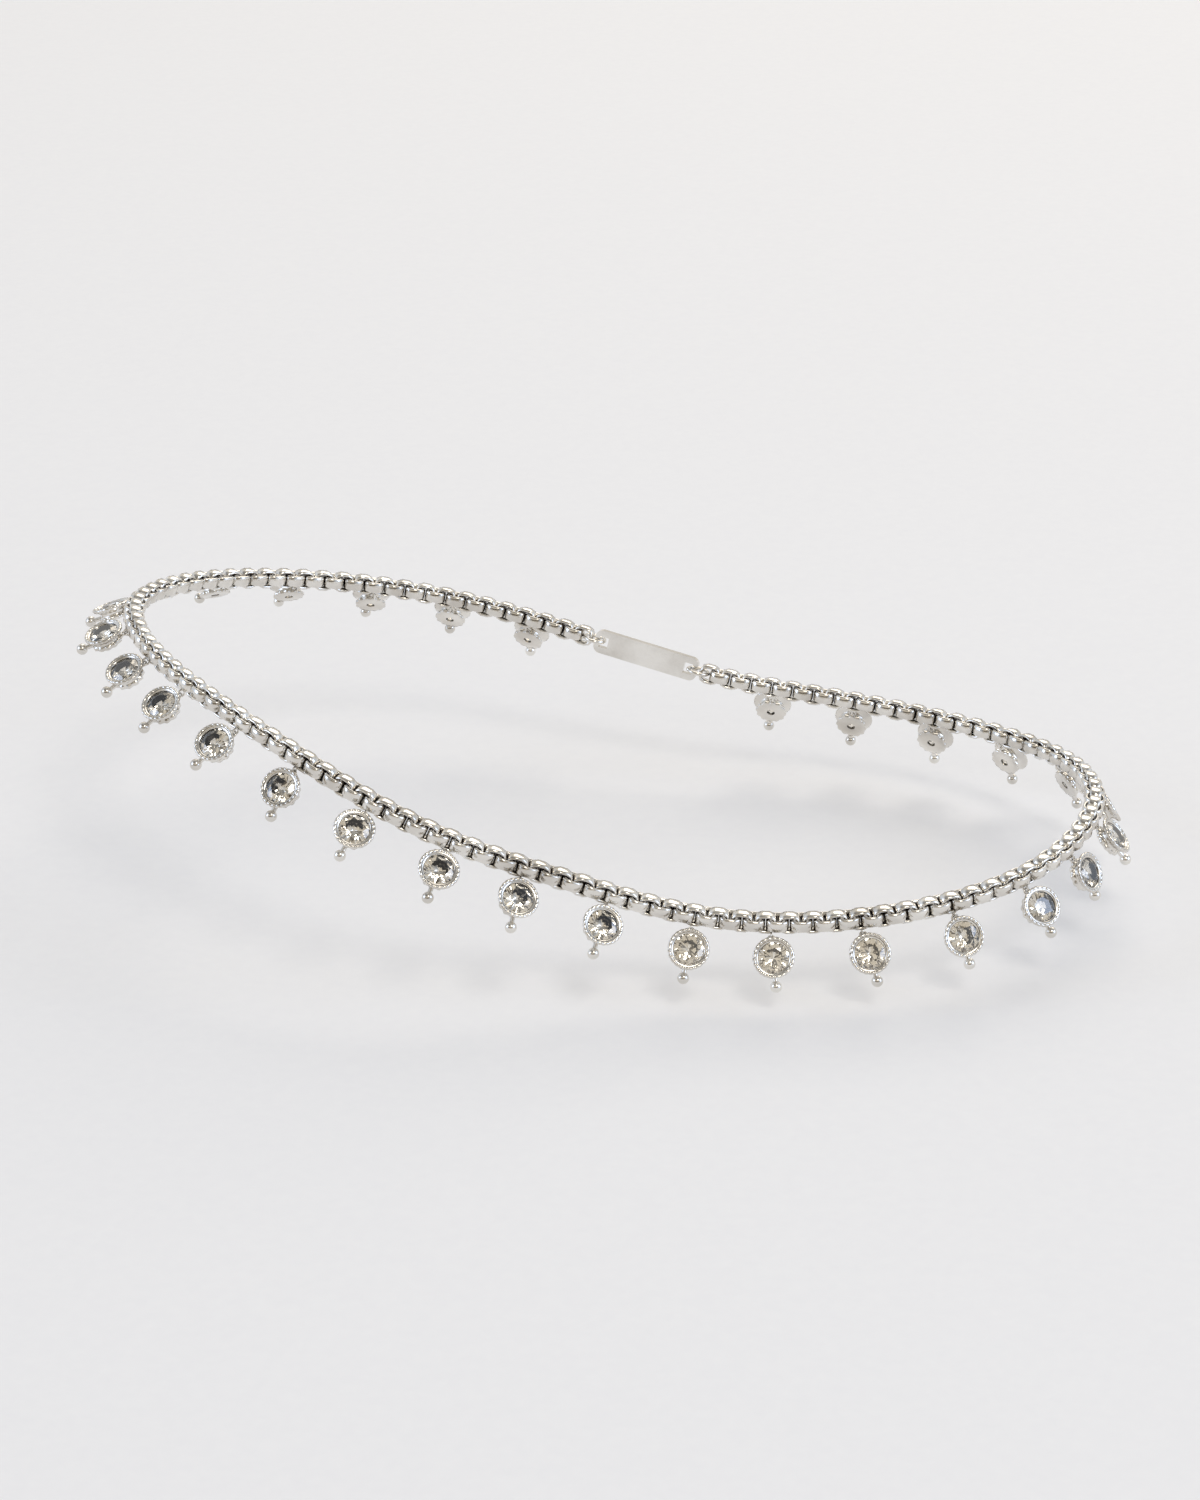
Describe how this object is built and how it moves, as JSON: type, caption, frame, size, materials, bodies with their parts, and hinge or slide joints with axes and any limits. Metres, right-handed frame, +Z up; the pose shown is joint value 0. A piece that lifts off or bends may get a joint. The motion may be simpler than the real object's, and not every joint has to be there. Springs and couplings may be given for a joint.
{
  "type": "payal anklet",
  "caption": "Closed silver box-chain anklet hung all round with small bezel-set round clear stones, each with a beaded rim and a small ball, as worn round an ankle.",
  "frame": {"origin": "middle of the ankle opening, level with the mean height of the chain", "axes": "+Z up the leg, +X toward the heel, -Y toward the outer side of the leg"},
  "size_m": [0.1375, 0.0878, 0.0329],
  "materials": {
    "silver": "polished silver, bright all over, with thin dark shadows between the links",
    "clear_stone": "clear cut stone, polished facets"
  },
  "bodies": {
    "root": {"chain": "silver", "drop_01": "silver", "drop_02": "silver", "drop_03": "silver", "drop_04": "silver", "drop_05": "silver", "drop_06": "silver", "drop_07": "silver", "drop_08": "silver", "drop_09": "silver", "drop_10": "silver", "drop_11": "silver", "drop_12": "silver", "drop_13": "silver", "drop_14": "silver", "drop_15": "silver", "drop_16": "silver", "drop_17": "silver", "drop_18": "silver", "drop_19": "silver", "drop_20": "silver", "drop_21": "silver", "drop_22": "silver", "drop_23": "silver", "drop_24": "silver", "drop_25": "silver", "drop_26": "silver", "drop_27": "silver", "drop_28": "silver", "drop_29": "silver", "stones": "clear_stone", "clasp": "silver", "end_ring_1": "silver", "end_ring_2": "silver"}
  },
  "joints": []
}
